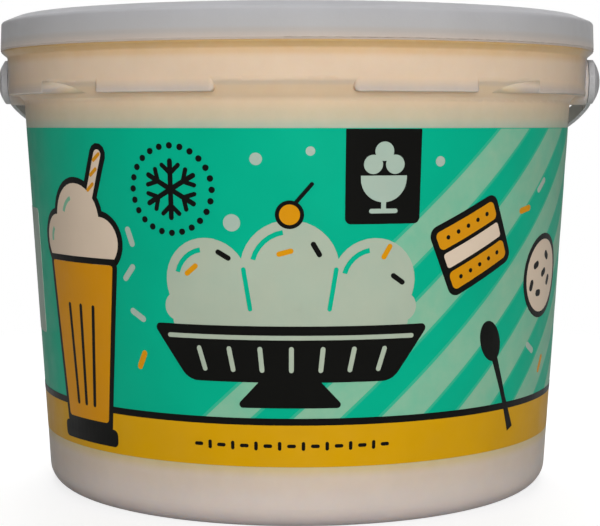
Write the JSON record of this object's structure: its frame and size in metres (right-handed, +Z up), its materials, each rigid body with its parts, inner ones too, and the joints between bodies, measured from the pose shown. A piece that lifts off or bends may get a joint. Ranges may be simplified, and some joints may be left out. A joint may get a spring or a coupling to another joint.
{
  "type": "ice cream pail",
  "caption": "Round tapered plastic tub of ice cream with a wrap label, stacking lugs, a press-fit lid and a swinging bail handle that hangs at the back.",
  "frame": {"origin": "middle of the foot ring, on the surface that the pail stands on", "axes": "+Z up along the tub's axis, the label's front faces -Y, the handle's hinge line runs along X and the handle hangs on the +Y side"},
  "size_m": [0.226, 0.225, 0.1718],
  "materials": {
    "tub": "translucent white polypropylene, semi-gloss, warm with the ice cream behind it",
    "label": "satin in-mould label film, teal green with bands and simple shapes",
    "lid": "translucent grey-white polyethylene, satin",
    "handle": "translucent white polypropylene, semi-gloss"
  },
  "bodies": {
    "pail": {"tub": "tub", "label": "label", "lid": "lid"},
    "bail": {"handle": "handle"}
  },
  "joints": [
    {"name": "bail_hinge", "type": "hinge", "parent": "pail", "child": "bail", "pos_m": [0, 0, 0.1488], "axis": [1, 0, 0], "range_deg": [-10, 228]}
  ]
}
